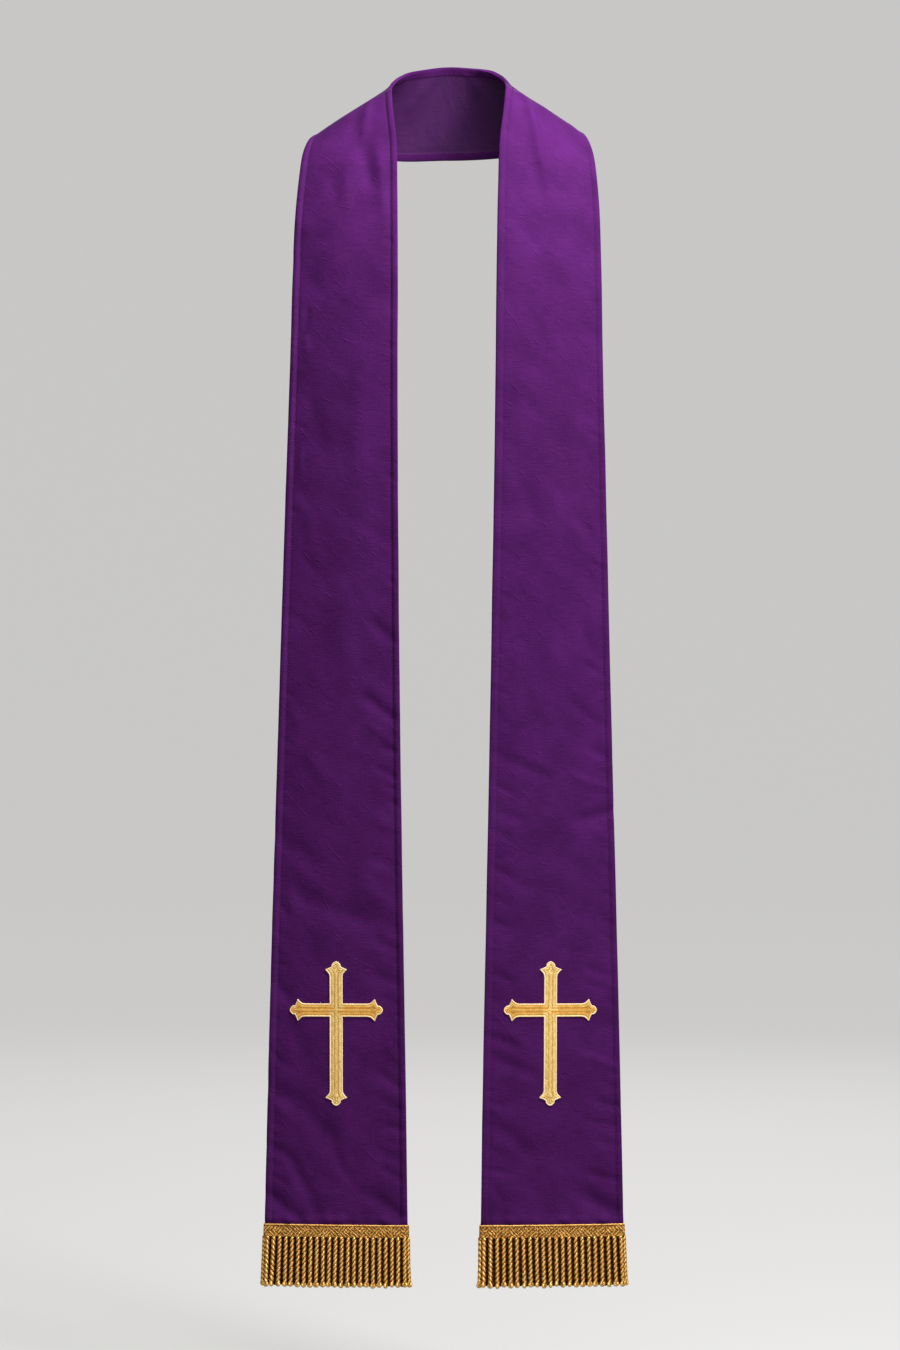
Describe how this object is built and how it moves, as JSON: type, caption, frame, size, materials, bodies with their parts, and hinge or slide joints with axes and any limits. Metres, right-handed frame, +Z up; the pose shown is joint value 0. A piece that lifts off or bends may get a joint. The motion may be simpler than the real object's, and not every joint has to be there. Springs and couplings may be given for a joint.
{
  "type": "clerical stole",
  "caption": "Long purple cloth stole in its worn shape: round the back of the neck, down both fronts, with a gold cross and a bullion fringe at each hem.",
  "frame": {"origin": "on the axis of the neck opening, level with the place where the inner edges cross the tops of the shoulders", "axes": "+Z up, the front faces -Y, and +X is to the right as seen from the front"},
  "size_m": [0.4086, 0.248, 1.3738],
  "materials": {
    "purple_cloth": "matt plain weave with fine slubs and a faint sheen",
    "gold_satin_stitch": "satin-stitched rayon thread, bright along the stitches",
    "gold_bullion": "twisted rayon cord, dark between the plies"
  },
  "bodies": {
    "root": {"panel_left": "purple_cloth", "panel_right": "purple_cloth", "cross_left": "gold_satin_stitch", "cross_right": "gold_satin_stitch", "fringe_left": "gold_bullion", "fringe_right": "gold_bullion"}
  },
  "joints": []
}
